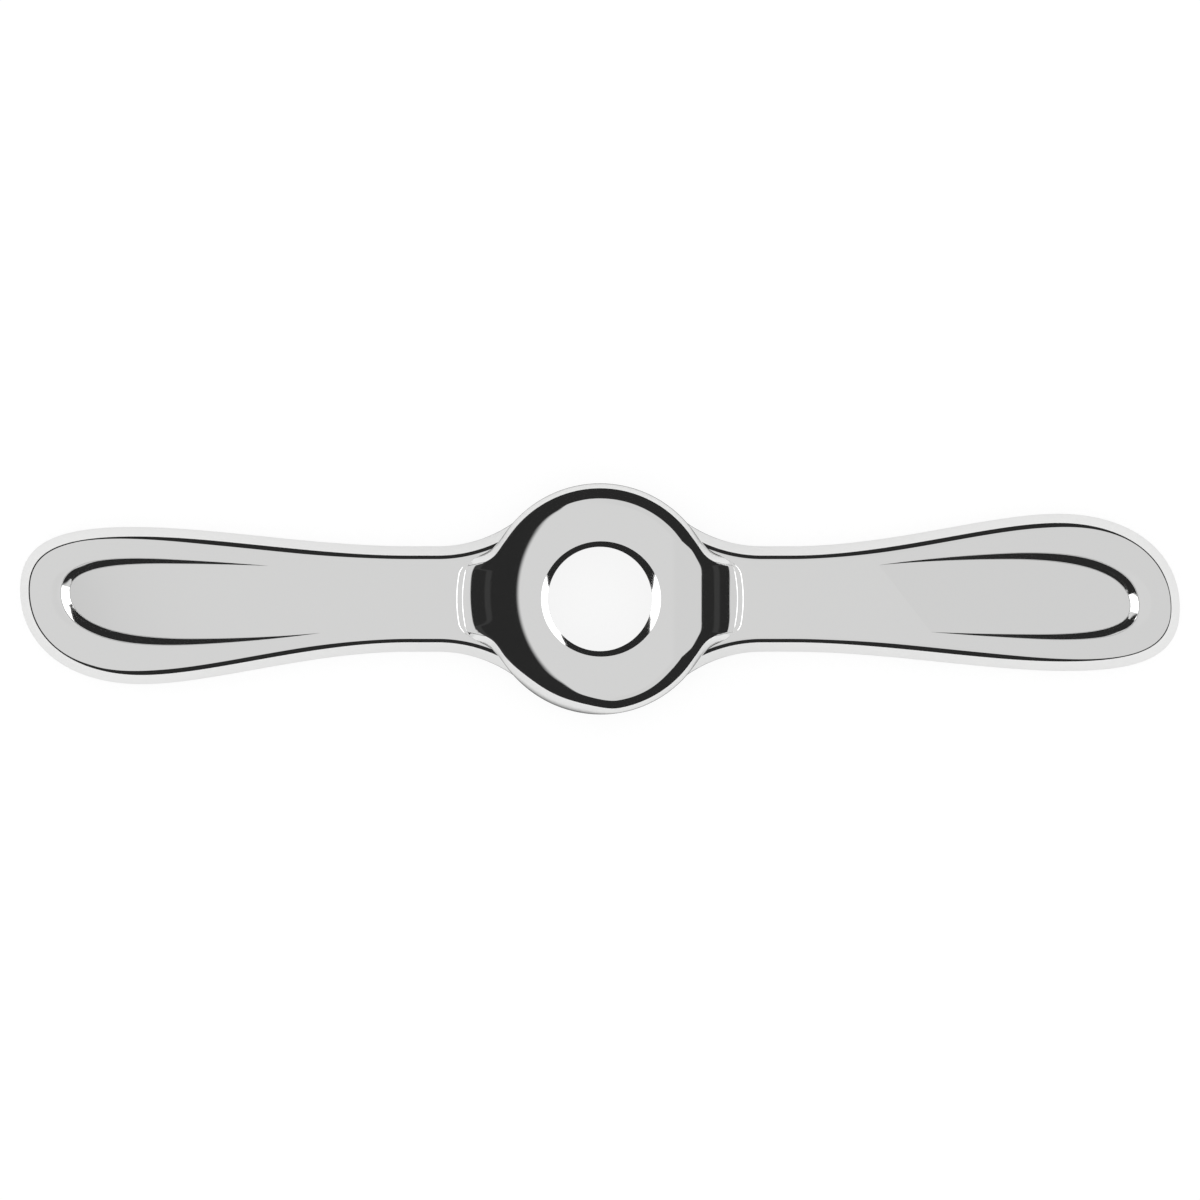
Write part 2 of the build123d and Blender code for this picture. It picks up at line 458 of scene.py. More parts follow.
def outward_at(x, y):
    """Unit vector in plan that leads out of the platform."""
    step = 1e-4
    slope_x = platform_inset(x + step, y) - platform_inset(x - step, y)
    slope_y = platform_inset(x, y + step) - platform_inset(x, y - step)
    length = np.hypot(slope_x, slope_y)
    return np.stack([-slope_x / length, -slope_y / length, 0 * x], axis=-1)


# Plan of the arms
def arm_edge(side, edge, inset, start):
    """One long edge of the right arm: an arc about the bend, the waist, and two curves to
    the tip. inset (rows, columns) moves it in, start is each row's first angle on the arc."""
    half_width, widest_at, handle_out, handle_in, fullness = edge
    a = bend_columns + 1
    b = a + waist_columns
    c = b + swell_columns
    turn = shares(bend_columns)[:, 0]
    angle = start[:, None] * (1 - turn) - math.pi / 2 * turn
    bend_x_row = bend_x + (blend_radius + inset[:, :a]) * np.cos(angle)
    bend_y_row = bend_y + (blend_radius + inset[:, :a]) * np.sin(angle)
    part = shares(waist_columns, 1)[:, 0]
    waist_x = bend_x + (waist_at - bend_x) * part + 0 * inset[:, a:b]
    waist_y = waist_half_width - inset[:, a:b]
    part = shares(swell_columns, 1)[:, 0]
    more = inset[:, b:c]
    narrow, wide = waist_half_width - more, half_width - more
    swell_x = bezier(part, waist_at, waist_at + handle_out, widest_at - handle_in, widest_at)
    swell_y = bezier(part, narrow, narrow, wide, wide)
    part = shares(tip_columns, 1)[:, 0]
    more = inset[:, c:]
    wide, reach = half_width - more, overall_length / 2 - tip_gap - more
    corner = widest_at + fullness * (reach - widest_at)
    drop = side * tip_drop
    tip_x = bezier(part, widest_at, corner, reach, reach)
    tip_y = bezier(part, wide, wide, -drop + fullness * (wide + drop), -drop)
    x = np.concatenate([bend_x_row, waist_x, swell_x + 0 * narrow, tip_x], axis=1)
    y = np.concatenate([bend_y_row, waist_y, swell_y, tip_y], axis=1)
    return x, side * y


def arm_edge_radius(edge, tip_span):
    """The edge's radius at each column: larger along the swell and small round the tip."""
    columns = 1 + bend_columns + waist_columns + swell_columns + tip_columns
    x = arm_edge(1, edge, np.zeros((1, columns)), np.array([bend_side]))[0][0]
    gain = swell_edge_radius - neck_edge_radius
    radius = neck_edge_radius + gain * smooth_step(*swell_span, x)
    return radius + (tip_edge_radius - radius) * smooth_step(*tip_span, x)


# Where each level of the arm's side meets the platform above and the hub below
neck_inset, neck_rise = [column[:, 0] for column in side_profile([neck_edge_radius])]


def on_blend(angle):
    """Plan of each level of the neck's side, at angles on its blend circle."""
    reach = blend_radius + neck_inset
    return bend_x + reach * np.cos(angle), bend_y + reach * np.sin(angle)


def meet(inset):
    """The angle on each level's blend circle at which it leaves the outline of inset."""
    low = np.full(len(neck_inset), -0.73 * math.pi)
    high = np.full(len(neck_inset), -0.5 * math.pi)
    return solve(lambda angle: -inset(*on_blend(angle)), low, high)


def hub_columns(start, low, high):
    """Polar angles round the hub, and the height at which its wall starts at each: low
    under the ear, then up or down the arm's side, and high at the parting line."""
    x, y = on_blend(start)
    meeting = np.arctan2(y, x)[::-1]
    rise = neck_rise[::-1] / (arm_top - arm_middle)
    ear = np.linspace(0, meeting[0], ear_columns + 1)[:-1]
    arc = np.linspace(meeting[-1], math.pi / 2, arc_columns + 1)[1:]
    quarter = np.concatenate([ear, meeting, arc])
    height = np.concatenate([np.full(len(ear), 1.0), rise, np.zeros(len(arc))])
    height = high + (low - high) * height
    back = quarter[-2::-1]
    angle = np.concatenate([quarter, math.pi - back, math.pi + quarter[1:], 2 * math.pi - back])
    return angle, np.concatenate([height, height[-2::-1], height[1:], height[-2::-1]])


upper_start = meet(platform_inset)
lower_start = meet(disc_inset)
upper_angle, upper_from = hub_columns(upper_start, arm_top, arm_middle)
lower_angle, lower_from = hub_columns(lower_start, arm_bottom, arm_middle)


# Heights of the platform
def face_height(x, y):
    """The plain face: flat in the middle, then rolled down to each ear. The right roll is a
    cylinder. The left one is crowned: it goes round a point right of the bore."""
    right = np.maximum(x - roll_start, 0)
    left = np.hypot(x - crown_centre[0], y - crown_centre[1]) - crown_centre[0]
    left = np.maximum(left - roll_start, 0)
    drop = 0
    for over in (right, left):
        drop = drop + roll_radius - np.sqrt(roll_radius**2 - over**2)
    return hub_height - drop


def bore_mouth(angle):
    """Width of the bore's polished edge, wider to the right and along the arms."""
    right = bore_edge_right * np.cos(angle)
    return bore_edge_width + right + bore_edge_along * np.cos(2 * angle)


def near_arm(fade, angle):
    """1 close to the arms' axis, fading to 0 over these angles from it."""
    off = np.degrees(np.arccos(np.clip(np.abs(np.cos(angle)), 0, 1)))
    return 1 - smooth_step(*fade, off)


def toward(middle, spread, angle):
    """1 at the direction middle, fading to 0 where the cosine of the angle from it is spread."""
    return smooth_step(spread, 1.0, np.cos(angle - middle))


def pad_reach(angle):
    """How far the low pad at the ear's foot reaches: full at the ear's end, narrow along its
    side and gone before the side ends."""
    side = pad_side_width * near_arm(pad_side_fade, angle)
    return side + (pad_width - side) * near_arm(pad_end_fade, angle)


def pad_step(angle):
    """Height of each of the pad's two small steps."""
    return np.minimum(pad_lip, pad_reach(angle) / 3)


def arc_radius(angle):
    """Radius of the arc inside the crease, tightest at the hub's lower right."""
    return rim_arc_radius * (1 - tight_arc_share * toward(tight_arc_at, tight_arc_spread, angle))


def crease_at(angle):
    """Inset of the crease between the platform's arc and its steep rim."""
    deep = deep_rim_crease * toward(deep_rim_at, deep_rim_spread, angle)
    return rim_crease + deep + ear_crease * near_arm(ear_crease_fade, angle)


def rim_height(angle):
    """Height of the platform's edge: at the ears' foot, or where the hub's rim rounds over."""
    ears = arm_top + 2 * pad_step(angle)
    drop = deep_rim_drop * toward(deep_rim_at, deep_rim_spread, angle)
    hub = hub_height - rim_radius - drop
    return hub + near_arm(ear_foot_fade, angle) * (ears - hub)


def platform_height(radius, angle):
    """Height of the platform's top: the face and an arc down to a crease, whose drops add up
    as the sides of a right angle do, then a steep rim that ends upright. The rim's height
    over its foot is a power of the inset's share of the crease's."""
    x, y = radius * np.cos(angle), radius * np.sin(angle)
    inset = np.maximum(body_inset(x, y), 0)
    foot, crease, bend = rim_height(angle), crease_at(angle), arc_radius(angle)
    over = np.maximum(bend * math.sin(rim_tilt) - np.maximum(inset - crease, 0), 0)
    arc_drop = bend - np.sqrt(bend**2 - over**2)
    top = hub_height - np.hypot(hub_height - face_height(x, y), arc_drop)
    return foot + (top - foot) * np.minimum(inset / crease, 1) ** rim_power


def platform_grid():
    """Rows from the foot of the wall up, over the rim and its arc, and in to the bore's edge."""
    angle = upper_angle
    edge = outline_radius(angle, np.zeros(len(angle)))
    start = upper_from + 2 * pad_step(angle)
    part = shares(wall_rows)[:-1]
    walls = polar(edge, angle, start + part * (platform_height(edge, angle) - start))
    crease, arc = crease_at(angle), arc_radius(angle) * math.sin(rim_tilt)
    inset = [crease * shares(steep_rows) ** 2, crease + arc * shares(arc_rows, 1)]
    radius = outline_radius(angle[None, :], np.concatenate(inset))
    rim = polar(radius, angle, platform_height(radius, angle))
    to_mouth = bore_radius + bore_mouth(angle) - radius[-1]
    radius = radius[-1] + shares(face_rows, 1) * to_mouth
    face = polar(radius, angle, platform_height(radius, angle))
    return np.concatenate([walls, rim, face])


# The thumb scoops
scoop_slope = scoop_depth / (scoop_end - scoop_fade)
scoop_side_slope = math.tan(math.radians(scoop_lean))


def scoop_floor_depth(x, y):
    """Depth of a scoop's leaning floor under the right arm's top face."""
    return scoop_slope * (x - scoop_fade) + scoop_side_slope * y


def scoop_side_curve(edge, part, outset):
    """One edge of a scoop, grown by outset, from the neck to its widest place."""
    start, wide, widest_at, reach = edge[0] + outset, edge[1] + outset, edge[2], edge[3]
    x = bezier(part, scoop_start, widest_at - 2 * reach, widest_at - reach, widest_at)
    return x + 0 * outset, bezier(part, start, (start + 2 * wide) / 3, wide, wide)


def scoop_edge(side, edge, side_part, end_part, outset):
    """One edge of a scoop, grown by outset: along the side, then round the end."""
    widest_at, full_along, full_across = edge[2], edge[4], edge[5]
    count = len(side_part)
    x, y = scoop_side_curve(edge, side_part, outset[:, :count])
    wide = edge[1] + outset[:, count:]
    end = scoop_end + scoop_end_ease * outset[:, count:]
    drop = side * scoop_drop
    end_x = bezier(end_part, widest_at, widest_at + full_along * (end - widest_at), end, end)
    end_y = bezier(end_part, wide, wide, -drop + full_across * (wide + drop), -drop)
    return np.concatenate([x, end_x], axis=1), side * np.concatenate([y, end_y], axis=1)


def scoop_wall(side, edge):
    """The wall under one edge of a scoop, from its mouth down to its floor. It falls at one
    slope, steeper at the end than along the side. Where the mouth is wider than that needs,
    a gentle lip comes first: its share of the width is (wall - mean slope) / (wall - lip).
    Both creases are eased, which is integrated to a height."""

    def start_depth(part):
        """Depth of the floor along the edge. The scoop starts where it is 0."""
        x, y = scoop_side_curve(edge, part, 0.0)
        return scoop_floor_depth(x, side * y)

    side_part = np.linspace(float(solve(start_depth, 0.0, 1.0)), 1, scoop_side_columns + 1)
    end_part = shares(scoop_end_columns, 1)[:, 0]
    none = np.zeros((1, len(side_part) + len(end_part)))
    x, y = scoop_edge(side, edge, side_part, end_part, none)
    depth = np.maximum(scoop_floor_depth(x, y), 0)
    depth[0, 0] = 0.0
    width = depth / (scoop_side_wall * (1 - wall_ease))
    way = np.stack([np.gradient(x[0]), np.gradient(y[0])])
    way = way / np.linalg.norm(way, axis=0)
    mouth_x, mouth_y = scoop_edge(side, edge, side_part, end_part, width)
    across = np.abs((mouth_x - x) * way[1] - (mouth_y - y) * way[0])
    round_end = smooth_step(*scoop_turn, np.abs(way[1]))
    slope = scoop_side_wall + (scoop_end_wall - scoop_side_wall) * round_end
    slope = slope * (1 - wall_ease)
    lip = (slope - depth / np.maximum(across, 1e-6)) / (slope - lip_slope)
    lip = np.clip(lip, *lip_shares)
    fall = [lip * cosine_shares(lip_rows)[:-1], lip + (1 - lip) * cosine_shares(scoop_rows)]
    fall = np.concatenate(fall)
    x, y = scoop_edge(side, edge, side_part, end_part, width * (1 - fall))
    lip_depth = lip_slope * lip * across
    lip_fall = lip_depth * eased(fall, 0 * lip, lip, lip_ease, lip_ease)
    wall_fall = (depth - lip_depth) * eased(fall, lip, 1.0, wall_ease, wall_ease)
    return np.stack([x, y, arm_top - lip_fall - wall_fall], axis=-1)


def scoop_grid():
    """The walls of a scoop in the right arm's top face. Columns go from the neck along the
    wide edge, round the end and back."""
    wide = scoop_wall(1, scoop_wide_edge)
    return np.concatenate([wide, scoop_wall(-1, scoop_narrow_edge)[:, -2::-1]], axis=1)


# Patches of the arms and the hub
def add_arm_sides(skin, upper, turn):
    """Both sides of one half of an arm, each in two patches with a crease between them.
    Gives the border of the half's face."""
    start, up = (upper_start, 1) if upper else (lower_start, -1)
    border = []
    for side, edge, tip_span in ((1, wide_edge, wide_tip_span), (-1, narrow_edge, narrow_tip_span)):
        inset, rise = side_profile(arm_edge_radius(edge, tip_span))
        x, y = arm_edge(side, edge, inset, start)
        points = np.stack([x, y, arm_middle + up * rise], axis=-1)
        outside = np.stack([0 * x, side + 0 * y, up * (rise > 2.0)], axis=-1)
        for rows in (slice(0, crease_row + 1), slice(crease_row, None)):
            skin.grid(points[rows] * turn, outside[rows] * turn)
        border.append(points[-1])
    return np.concatenate([border[0], border[1][-2::-1]])


def add_arm(skin, turn):
    """Both faces and both sides of one arm. turn is (1, 1, 1), or the half turn."""
    for upper in (True, False):
        border = add_arm_sides(skin, upper, turn)
        way = UP if upper else -UP
        angle = upper_angle if upper else lower_angle
        near = np.concatenate([angle[-ear_columns - 1 : -1] - 2 * math.pi, angle[: ear_columns + 1]])
        if upper:
            foot = polar(outline_radius(near, -pad_reach(near)), near, arm_top)
        else:
            foot = polar(hub_radius, near, arm_bottom)
        walls = scoop_grid()
        if not upper:
            walls[..., 2] = 2 * arm_middle - walls[..., 2]
        mouth, bottom = walls[0], walls[-1] * turn
        ring = np.concatenate([border, foot])
        place = np.concatenate([ring, mouth]) * turn
        loops = [np.arange(len(ring)), len(ring) + np.arange(len(mouth))]
        skin.fill(place[:, :2], place, np.tile(way, (len(place), 1)), loops)
        skin.grid(walls * turn, way)
        tilt = np.array([scoop_slope, scoop_side_slope, way[2]])
        tilt = turn * tilt / np.linalg.norm(tilt)
        tilt = np.tile(tilt, (len(bottom), 1))
        skin.fill(bottom[:, :2], bottom, tilt, [np.arange(len(bottom))])


def near_screw(angle):
    """Which columns of the hub's wall are cut round the screw's hole."""
    return np.abs(np.degrees(angle) - 270) < screw_wall_angle


def whole_cells(angle, rows, cut_rows):
    """Which cells of a ring's rows stay when cut_rows lose those by the screw's hole."""
    columns = near_screw(angle)
    keep = np.ones((rows, len(angle) - 1), dtype=bool)
    keep[:cut_rows, columns[:-1] & columns[1:]] = False
    return keep


def add_platform(skin):
    """The platform, in two patches with the crease between them. Gives the piece of its
    wall by the screw's hole."""
    grid = platform_grid()
    keep = whole_cells(upper_angle, wall_rows + steep_rows, wall_rows)
    below, above = grid[: len(keep) + 1], grid[len(keep) :]
    skin.grid(below, outward(upper_angle, len(below), 1.0), closed=True, keep=keep)
    skin.grid(above, outward(upper_angle, len(above), 1.0) + UP, closed=True)
    return grid[: wall_rows + 1][:, near_screw(upper_angle)]


def add_pads(skin):
    """The ears' low pads: a small step, a flat and another small step."""
    count = ear_columns + 1
    for middle in (0.0, math.pi):
        angle = np.concatenate([-upper_angle[count:0:-1], upper_angle[: count + 1]]) + middle
        reach, step = pad_reach(angle), pad_step(angle)
        corners = ((0 * reach, 2 * step), (step, step), (reach - step, step), (reach, 0 * step))
        lines = [polar(outline_radius(angle, -out), angle, arm_top + up) for out, up in corners]
        for row, lean in enumerate((1, 0, 1)):
            points = np.stack(lines[row : row + 2])
            normals = UP + lean * outward_at(points[..., 0], points[..., 1])
            normals = normals / np.linalg.norm(normals, axis=-1, keepdims=True)
            skin.grid(points, normals, normals=normals)


def add_lower_wall(skin):
    """The hub's wall under the arms and its chamfer. Gives the piece by the screw's hole."""
    wall = polar(hub_radius, lower_angle, lower_from + shares(lower_rows) * (foot_edge - lower_from))
    keep = whole_cells(lower_angle, lower_rows, lower_rows)
    skin.grid(wall, outward(lower_angle, len(wall)), closed=True, keep=keep)
    foot = polar(hub_radius, lower_angle, foot_edge)
    edge = np.stack([foot, polar(hub_radius - foot_edge, lower_angle, 0.0)])
    skin.grid(edge, outward(lower_angle, 2, -1.0), closed=True)
    return wall[:, near_screw(lower_angle)]


def add_screw_hole(skin, upper_wall, lower_wall):
    """The hub's wall round the screw's hole, a cone of 45 degrees at its mouth, and the plain
    hole. The cone's radius on the round wall is found by repeating its equation. Gives the
    hole's ring at the pocket."""
    block = np.concatenate([upper_wall[::-1], lower_wall[1:]])
    turn = np.linspace(0, 2 * math.pi, screw_hole_columns + 1)
    mouth = screw_hole_radius + screw_mouth_edge
    size = np.full(len(turn), mouth)
    for _ in range(30):
        size = mouth - hub_radius + np.sqrt(hub_radius**2 - (size * np.cos(turn)) ** 2)
    lip_x, lip_z = size * np.cos(turn), screw_height + size * np.sin(turn)
    lip = np.stack([lip_x, -np.sqrt(hub_radius**2 - lip_x**2), lip_z], axis=-1)
    lip[-1] = lip[0]
    index = np.arange(block[..., 0].size).reshape(block.shape[:2])
    outer = np.concatenate([index[0, :-1], index[:-1, -1], index[-1, :0:-1], index[:0:-1, 0]])
    wall = block.reshape(-1, 3)
    clear = np.hypot(wall[:, 0], wall[:, 2] - screw_height) > mouth + screw_wall_gap
    clear[outer] = True
    renumber = np.cumsum(clear) - 1
    place = np.concatenate([wall[clear], lip[:-1]])
    flat = np.stack([np.arcsin(place[:, 0] / hub_radius) * hub_radius, place[:, 2]], axis=-1)
    away = place * np.array([1, 1, 0]) / hub_radius
    skin.fill(flat, place, away, [renumber[outer], clear.sum() + np.arange(len(lip) - 1)])

    def ring(y):
        """A ring of the plain hole at this y."""
        x, z = screw_hole_radius * np.cos(turn), screw_hole_radius * np.sin(turn)
        points = np.stack([x, np.full(len(x), y), screw_height + z], axis=-1)
        points[-1] = points[0]
        return points

    inner, end = ring(screw_mouth_edge - hub_radius), ring(-pocket_apothem)
    cone = np.stack([lip, inner])
    to_axis = np.array([0, 0, screw_height]) - cone * np.array([1, 0, 1])
    skin.grid(cone, to_axis, closed=True)
    skin.grid(np.stack([inner, end]), to_axis, closed=True)
    return end[:-1]


def add_pocket(skin, screw_ring):
    """The die's pocket: six flats with a broken edge, one of them with the screw's hole, the
    hub's underside round it, and the ledge that the die sits against."""
    corner_angle = np.radians(np.arange(7) * 60.0)
    to_corner = 1 / math.cos(math.radians(30))
    mouth = polar((pocket_apothem + pocket_edge) * to_corner, corner_angle, 0.0)
    low = polar(pocket_apothem * to_corner, corner_angle, pocket_edge)
    high = polar(pocket_apothem * to_corner, corner_angle, die_thickness)
    screw_flat = 4
    for flat in range(6):
        pair = slice(flat, flat + 2)
        facing = -polar(1.0, np.radians(flat * 60.0 + 30), 0.0)
        skin.plane(np.stack([mouth[pair], low[pair]]), facing)
        if flat == screw_flat:
            place = np.concatenate([low[pair], high[pair][::-1], screw_ring])
            loops = [np.arange(4), 4 + np.arange(len(screw_ring))]
            skin.fill(place[:, [0, 2]], place, np.tile(facing, (len(place), 1)), loops)
        else:
            skin.plane(np.stack([low[pair], high[pair]]), facing)
    underside = polar(hub_radius - foot_edge, lower_angle[:-1], 0.0)
    throat = polar(bore_radius, upper_angle[:-1], die_thickness)
    for outer, inner in ((underside, mouth[:-1]), (high[:-1], throat)):
        place = np.concatenate([outer, inner])
        loops = [np.arange(len(outer)), len(outer) + np.arange(len(inner))]
        skin.fill(place[:, :2], place, np.tile(-UP, (len(place), 1)), loops)


def add_bore(skin):
    """The bore and its polished edge, whose slope changes evenly from the face to the bore."""
    angle, part = upper_angle, shares(bore_rows)
    width = bore_mouth(angle)
    outer_slope, inner_slope = bore_edge_slopes
    top = hub_height - width * (outer_slope + inner_slope) / 2
    tube = polar(bore_radius, angle, die_thickness + part * (top - die_thickness))
    to_axis = -outward(angle, len(tube))
    skin.grid(tube, to_axis, closed=True)
    down = (1 - part) * outer_slope + (1 - part) ** 2 * (inner_slope - outer_slope) / 2
    edge = polar(bore_radius + part * width, angle, hub_height - width * down)
    skin.grid(edge, to_axis, closed=True)


def make_handle():
    """The casting: two arms, the second a half turn of the first, and the hub."""
    skin = Skin()
    add_arm(skin, np.ones(3))
    add_arm(skin, half_turn)
    upper_wall = add_platform(skin)
    add_pads(skin)
    lower_wall = add_lower_wall(skin)
    add_pocket(skin, add_screw_hole(skin, upper_wall, lower_wall))
    add_bore(skin)
    return skin.mesh("handle_casting")


handle = bpy.data.objects.new("handle_casting", make_handle())
bpy.context.scene.collection.objects.link(handle)
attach(handle, "handle")
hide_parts("handle")

# Set screw
screw_radius = 3.0
screw_length = 8.0
screw_rest_gap = 0.3
screw_edge = 0.5
thread_pitch = 1.0
thread_depth = 0.5
thread_sharpness = 2.6
thread_flat = 0.15
thread_fade = (0.2, 0.9)
socket_apothem = 1.5
socket_depth = 3.5
socket_edge = 0.1
socket_flare = 1.06
socket_cone = 0.6
cup_radius = 1.4
cup_depth = 0.8
screw_columns, thread_rows = 96, 112


def thread_body(turn):
    """The screw's outside along +Y, from the cup in its point to the rim of its end. The
    radius falls by a flattened triangle wave of the distance along the screw less the
    turn, and the wave fades at both ends."""
    half_edge = screw_edge / 2
    thread = np.linspace(screw_edge, screw_length - screw_edge, thread_rows + 1)
    point, end = [cup_depth, 0.0, 0.0, half_edge], [screw_length - half_edge, screw_length]
    run = np.concatenate([point, thread, end])[:, None]
    slim, slimmer = screw_radius - half_edge, screw_radius - screw_edge
    radius = np.concatenate(
        [[0.0, cup_radius, slimmer, slim], np.full(len(thread), screw_radius), [slim, slimmer]]
    )[:, None]
    wave = np.mod(run / thread_pitch - turn / (2 * math.pi), 1.0)
    tooth = np.clip(np.abs(wave - 0.5) * thread_sharpness - thread_flat, 0, 1)
    fade = smooth_step(*thread_fade, run) * smooth_step(*thread_fade, screw_length - run)
    radius = radius - thread_depth * tooth * fade * (radius == screw_radius)
    return np.stack([radius * np.cos(turn), run + 0 * radius, radius * np.sin(turn)], axis=-1)


def socket_body(turn):
    """The socket's rows, from its broken edge to the middle of its floor. A row's radius is
    the hexagon's apothem over the cosine of the turn from the nearest flat."""
    corner = np.mod(turn + math.pi / 6, math.pi / 3) - math.pi / 6
    hexagon = socket_apothem / np.cos(corner)
    size = np.array([socket_flare, 1.0, 1.0, 0.0])[:, None]
    depth = np.array([0.0, socket_edge, socket_depth, socket_depth + socket_cone])[:, None]
    run = screw_length - depth
    x, z = size * hexagon * np.cos(turn), size * hexagon * np.sin(turn)
    return np.stack([x, run + 0 * x, z], axis=-1)


def make_screw():
    """The set screw along -Y: the threaded body, its flat end, and the socket's sides and
    floor, each row of the socket a patch of its own so that its edges stay crisp."""
    turn = np.linspace(0, 2 * math.pi, screw_columns + 1)
    body = thread_body(turn)
    points = np.concatenate([body, socket_body(turn)])
    at = np.array([0.0, -pocket_apothem - screw_rest_gap, screw_height])
    place = at + points * np.array([1.0, -1.0, 1.0])
    away = points * np.array([1.0, 0.0, 1.0])
    outside = np.array([0.0, -1.0, 0.0])
    skin = Skin()
    count = len(body)
    skin.grid(place[:count], away[:count], closed=True)
    skin.grid(place[count - 1 : count + 1], np.broadcast_to(outside, (2, len(turn), 3)), closed=True)
    for row in range(count, len(place) - 1):
        skin.grid(place[row : row + 2], 0.2 * outside - away[row : row + 2], closed=True)
    return skin.mesh("set_screw_threaded")


screw = bpy.data.objects.new("set_screw_threaded", make_screw())
bpy.context.scene.collection.objects.link(screw)
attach(screw, "set_screw")
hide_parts("set_screw")


# Materials
class Value:
    """A number that a node gives. The operators add Math nodes to the same tree."""

    def __init__(self, nodes, socket):
        self.nodes = nodes
        self.socket = socket

    def math(self, operation, *others):
        """A Math node of this number and the others."""
        sockets = dict(enumerate((self, *others)))
        return self.nodes.add("ShaderNodeMath", {"operation": operation}, sockets)

    def __add__(self, other):
        return self.math("ADD", other)

    def __sub__(self, other):
        return self.math("SUBTRACT", other)

    def __rsub__(self, other):
        return (self * -1) + other

    def __mul__(self, other):
        return self.math("MULTIPLY", other)

    def __truediv__(self, other):
        return self.math("DIVIDE", other)

    __radd__ = __add__
    __rmul__ = __mul__

    def step(self, low, high):
        """0 below low, 1 above high and smooth between. Either end may be a Value."""
        settings = {"interpolation_type": "SMOOTHSTEP"}
        sockets = {"Value": self, "From Min": low, "From Max": high}
        return self.nodes.add("ShaderNodeMapRange", settings, sockets)

    def past(self, at, soft):
        """0 under at and 1 over it, smooth within soft of it. at may be a Value."""
        return self.step(at - soft, at + soft)


class Nodes:
    """Adds nodes to one tree."""

    def __init__(self, tree):
        self.tree = tree
        tree.nodes.clear()

    def add(self, kind, settings=None, sockets=None, output=0):
        """A node with its settings made first, then its sockets set or linked by name or
        number. Gives the chosen output."""
        node = self.tree.nodes.new(kind)
        for name, value in (settings or {}).items():
            setattr(node, name, value)
        for key, value in (sockets or {}).items():
            if isinstance(value, Value):
                self.tree.links.new(value.socket, node.inputs[key])
            else:
                node.inputs[key].default_value = value
        return Value(self, node.outputs[output]) if node.outputs else None

    def noise(self, place, scale, detail):
        """A noise of this many turns a metre."""
        sockets = {"Vector": place, "Scale": scale, "Detail": detail}
        return self.add("ShaderNodeTexNoise", None, sockets)

    def bump(self, height, strength, distance):
        """A normal bent by a height."""
        sockets = {"Strength": strength, "Distance": distance, "Height": height}
        return self.add("ShaderNodeBump", None, sockets)


def material(name):
    """A new node material and its empty tree."""
    made = bpy.data.materials.new(name)
    made.use_nodes = True
    return made, Nodes(made.node_tree)


def chrome_plate():
    """Polished chrome on a casting: bright, with a faint haze that varies and a slow
    waviness left by the polishing wheel."""
    made, nodes = material("chrome_plate")
    place = nodes.add("ShaderNodeTexCoord", output="Object")
    haze = nodes.noise(place, 90.0, 4.0)
    wave = nodes.noise(place, 60.0, 1.0)
    sockets = {
        "Base Color": (0.92, 0.92, 0.915, 1.0),
        "Metallic": 1.0,
        "Roughness": 0.03 + haze * 0.02,
        "Normal": nodes.bump(wave, 0.02, 0.0004),
    }
    shader = nodes.add("ShaderNodeBsdfPrincipled", None, sockets)
    nodes.add("ShaderNodeOutputMaterial", None, {"Surface": shader})
    return made


def black_steel():
    """Black oxide on the screw, rubbed a little brighter in patches."""
    made, nodes = material("black_steel")
    place = nodes.add("ShaderNodeTexCoord", output="Object")
    grain = nodes.noise(place, 900.0, 3.0)
    worn = nodes.noise(place, 250.0, 3.0).step(0.5, 0.75)
    oxide, steel = (0.05, 0.05, 0.055, 1.0), (0.14, 0.14, 0.145, 1.0)
    mixed = {0: worn, 6: oxide, 7: steel}
    sockets = {
        "Base Color": nodes.add("ShaderNodeMix", {"data_type": "RGBA"}, mixed, output=2),
        "Metallic": 0.9,
        "Roughness": 0.42 - worn * 0.12,
        "Normal": nodes.bump(grain, 0.15, 0.0001),
    }
    shader = nodes.add("ShaderNodeBsdfPrincipled", None, sockets)
    nodes.add("ShaderNodeOutputMaterial", None, {"Surface": shader})
    return made


handle.data.materials.append(chrome_plate())
screw.data.materials.append(black_steel())

# Studio
floor_half = 2.0
floor_mesh = bpy.data.meshes.new("floor")
floor_mesh.from_pydata(
    [(x * floor_half, y * floor_half, 0.0) for x, y in ((-1, -1), (1, -1), (1, 1), (-1, 1))],
    [],
    [(0, 1, 2, 3)],
)
floor = bpy.data.objects.new("floor", floor_mesh)
bpy.context.scene.collection.objects.link(floor)

# The card's tones as mirror reflections see them, with their places in metres: a painted
# contact shadow, dark close round the hub, then pale, and a little darker to both sides of the arms
painted_shadow_tone, painted_shadow_lift, card_side_loss = 0.12, 0.78, 0.18
painted_shadow_span = (0.0245, 0.032)
card_side_span = (0.035, 0.07)


